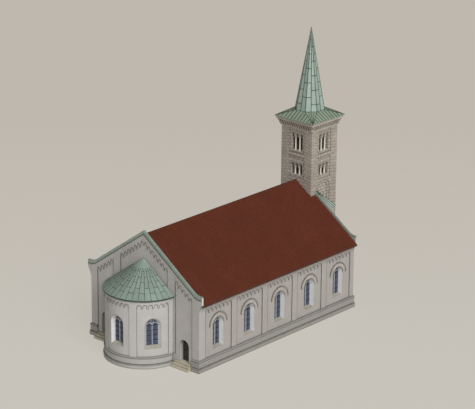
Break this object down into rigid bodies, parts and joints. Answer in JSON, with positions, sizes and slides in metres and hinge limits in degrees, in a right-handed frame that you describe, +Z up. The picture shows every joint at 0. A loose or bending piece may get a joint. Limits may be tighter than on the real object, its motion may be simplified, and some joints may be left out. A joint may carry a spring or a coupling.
{
  "type": "church building",
  "caption": "Round-arched hall church with a half-round apse, a tiled nave roof, copper-capped gables, a square belfry tower with an eight-sided copper spire, and side doors that swing inwards.",
  "frame": {"origin": "centre of the building's footprint box at ground level", "axes": "+Z up, -Y towards the apse, +Y towards the tower, +X to the right of someone who looks from the apse towards the tower"},
  "size_m": [14.84, 30.19, 27.29],
  "materials": {
    "plaster": "matt mineral plaster, warm light grey",
    "grey_stone": "dressed grey stone",
    "tower_stone": "squared grey-brown stone",
    "pale_stone": "dressed pale yellowish stone",
    "floor_stone": "stone paving",
    "copper": "weathered copper sheet, pale green",
    "roof_tile": "dark red-brown clay tile",
    "leaded_glass": "dark leaded glass",
    "oak": "dark stained oak"
  },
  "bodies": {
    "building": {"apse_plinth": "grey_stone", "apse_roof": "copper", "apse_wall_left": "plaster", "apse_wall_middle": "plaster", "apse_wall_right": "plaster", "apse_window_left": "leaded_glass", "apse_window_middle": "leaded_glass", "apse_window_right": "leaded_glass", "floor": "floor_stone", "front_coping": "copper", "front_gable": "plaster", "left_annex_roof": "copper", "left_annex_walls": "plaster", "left_front_corner_pier": "plaster", "left_front_inner_pier": "plaster", "left_nave_roof": "roof_tile", "left_plinth": "grey_stone", "left_rear_coping": "copper", "left_rear_wall": "plaster", "left_side_steps": "pale_stone", "left_side_wall": "plaster", "left_tower_wall": "tower_stone", "left_window_1": "leaded_glass", "left_window_2": "leaded_glass", "left_window_3": "leaded_glass", "left_window_4": "leaded_glass", "left_window_5": "leaded_glass", "right_annex_roof": "copper", "right_annex_walls": "plaster", "right_front_corner_pier": "plaster", "right_front_inner_pier": "plaster", "right_nave_roof": "roof_tile", "right_plinth": "grey_stone", "right_rear_coping": "copper", "right_rear_wall": "plaster", "right_side_steps": "pale_stone", "right_side_wall": "plaster", "right_tower_wall": "tower_stone", "right_window_1": "leaded_glass", "right_window_2": "leaded_glass", "right_window_3": "leaded_glass", "right_window_4": "leaded_glass", "right_window_5": "leaded_glass", "skirt_roof": "copper", "spire": "copper", "tower_back_wall": "tower_stone", "tower_cornice": "pale_stone", "tower_door": "oak", "tower_front_wall": "tower_stone", "tower_steps": "pale_stone"},
    "right_door": {"right_side_door": "oak"},
    "left_door": {"left_side_door": "oak"}
  },
  "joints": [
    {"name": "right_door_hinge", "type": "hinge", "parent": "building", "child": "right_door", "pos_m": [5.785, -10.58485, 1.7], "axis": [0, 0, -1], "range_deg": [0, 90]},
    {"name": "left_door_hinge", "type": "hinge", "parent": "building", "child": "left_door", "pos_m": [-5.785, -10.58485, 1.7], "axis": [0, 0, 1], "range_deg": [0, 90]}
  ]
}
